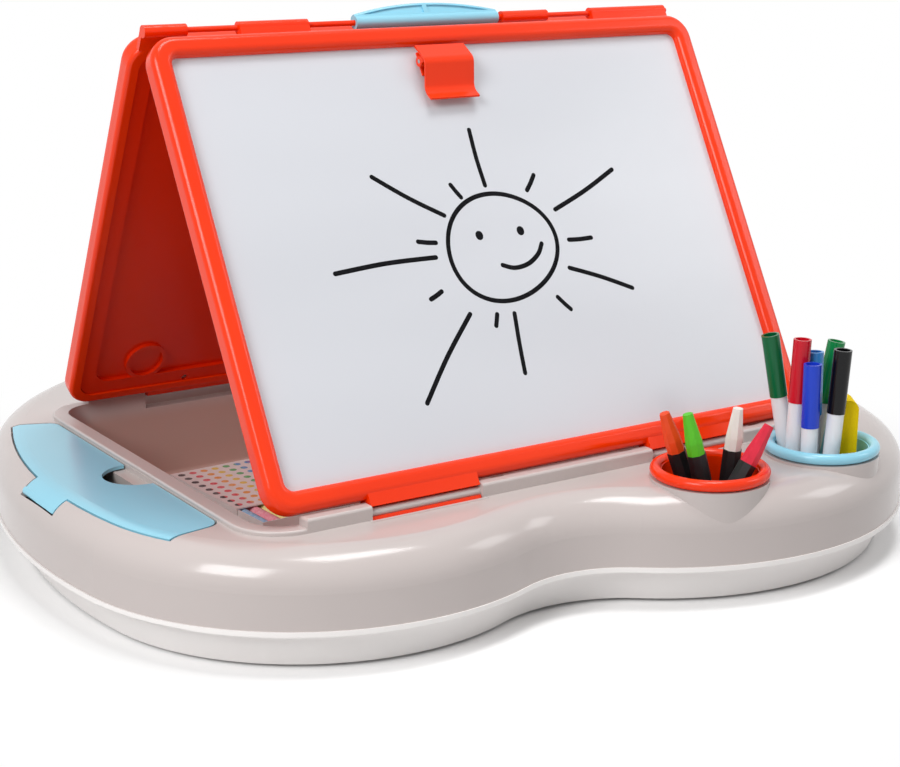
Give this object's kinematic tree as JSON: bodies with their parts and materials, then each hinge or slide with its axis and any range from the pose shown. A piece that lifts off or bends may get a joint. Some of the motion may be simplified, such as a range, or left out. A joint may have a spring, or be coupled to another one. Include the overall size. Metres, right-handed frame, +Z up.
{
  "type": "tabletop easel with whiteboard and chalkboard",
  "caption": "Tabletop easel on a kidney-shaped storage base: a whiteboard and a chalkboard joined at a ridge hinge, with lift-out pen cups, a lidded side bin and a carry handle.",
  "frame": {"origin": "middle of the base's bounding rectangle, on the surface that the feet stand on", "axes": "+X to the right along the ridge, +Y from the whiteboard side to the chalkboard side, +Z up"},
  "size_m": [0.552, 0.494, 0.3149],
  "materials": {
    "base_grey": "satin",
    "pan_grey": "satin",
    "rubber": "matte",
    "steel": "brushed",
    "tray_grey": "satin",
    "rod_grey": "satin",
    "bin_grey": "matte",
    "light_blue": "satin",
    "red_plastic": "gloss",
    "red_backing": "satin",
    "whiteboard": "gloss",
    "chalkboard": "matte",
    "marker_white": "satin",
    "sleeve_black": "matte",
    "eraser_yellow": "matte",
    "eraser_felt": "matte",
    "card": "matte",
    "chalk": "matte",
    "cap_green": "gloss",
    "cap_red": "gloss",
    "cap_blue": "gloss",
    "cap_black": "gloss",
    "cap_teal": "gloss",
    "cap_lime": "gloss",
    "wax_orange": "satin",
    "wax_green": "satin",
    "wax_white": "satin",
    "wax_pink": "satin"
  },
  "bodies": {
    "base": {"base_top_shell": "base_grey", "bottom_pan": "pan_grey", "rubber_feet": "rubber", "base_screws": "steel", "storage_tray": "tray_grey", "front_hinge_rods": "rod_grey", "rear_hinge_rods": "rod_grey", "side_bin": "bin_grey", "lid_hinge_pin": "steel", "chalk_box": "card", "chalk_drawer": "card", "chalk_sticks": "chalk"},
    "front_board": {"front_frame": "red_plastic", "whiteboard_sheet": "whiteboard", "front_backing": "red_backing", "front_board_screws": "steel", "clip_base": "red_plastic", "clip_pin": "steel", "clip_spring": "steel"},
    "back_board": {"back_frame": "red_plastic", "chalkboard_sheet": "chalkboard", "back_backing": "red_backing", "back_board_screws": "steel", "ridge_rod": "red_plastic"},
    "carry_handle": {"carry_handle": "light_blue"},
    "paper_clip": {"paper_clip": "red_plastic"},
    "storage_lid": {"storage_lid": "light_blue"},
    "crayon_cup": {"crayon_cup": "red_plastic"},
    "pen_cup": {"pen_cup": "light_blue"},
    "crayons": {"crayon_sleeves": "sleeve_black", "crayon_orange": "wax_orange", "crayon_green": "wax_green", "crayon_white": "wax_white", "crayon_pink": "wax_pink"},
    "markers": {"marker_barrels": "marker_white", "marker_cap_green": "cap_green", "marker_cap_red": "cap_red", "marker_cap_blue": "cap_blue", "marker_cap_black": "cap_black", "marker_cap_teal": "cap_teal", "marker_cap_lime": "cap_lime"},
    "board_eraser": {"eraser_block": "eraser_yellow", "eraser_felt": "eraser_felt"}
  },
  "joints": [
    {"name": "front_hinge", "type": "hinge", "parent": "base", "child": "front_board", "pos_m": [-0.01673, -0.15802, 0.0675], "axis": [1, 0, 0], "range_deg": [0, 20]},
    {"name": "ridge_hinge", "type": "hinge", "parent": "front_board", "child": "back_board", "pos_m": [-0.01673, -0.01554, 0.30543], "axis": [1, 0, 0], "range_deg": [-57, 0]},
    {"name": "handle_swing", "type": "hinge", "parent": "back_board", "child": "carry_handle", "pos_m": [-0.01673, -0.01554, 0.30543], "axis": [1, 0, 0], "range_deg": [-38, 35]},
    {"name": "clip_pinch", "type": "hinge", "parent": "front_board", "child": "paper_clip", "pos_m": [-0.02173, -0.04098, 0.2847], "axis": [-1, 0, 0], "range_deg": [0, 14], "stiffness_Nm_per_rad": 0.15, "springref_deg": -14.32},
    {"name": "lid_hinge", "type": "hinge", "parent": "base", "child": "storage_lid", "pos_m": [-0.26768, -0.01637, 0.0571], "axis": [0, -1, 0], "range_deg": [0, 100]},
    {"name": "crayon_cup_lift", "type": "slide", "parent": "base", "child": "crayon_cup", "axis": [0, 0, 1], "range_m": [0, 0.06]},
    {"name": "pen_cup_lift", "type": "slide", "parent": "base", "child": "pen_cup", "axis": [0, 0, 1], "range_m": [0, 0.06]},
    {"name": "crayons_lift", "type": "slide", "parent": "crayon_cup", "child": "crayons", "axis": [0, 0, 1], "range_m": [0, 0.09]},
    {"name": "markers_lift", "type": "slide", "parent": "pen_cup", "child": "markers", "axis": [0, 0, 1], "range_m": [0, 0.09]},
    {"name": "eraser_lift", "type": "slide", "parent": "pen_cup", "child": "board_eraser", "axis": [0, 0, 1], "range_m": [0, 0.09]}
  ]
}
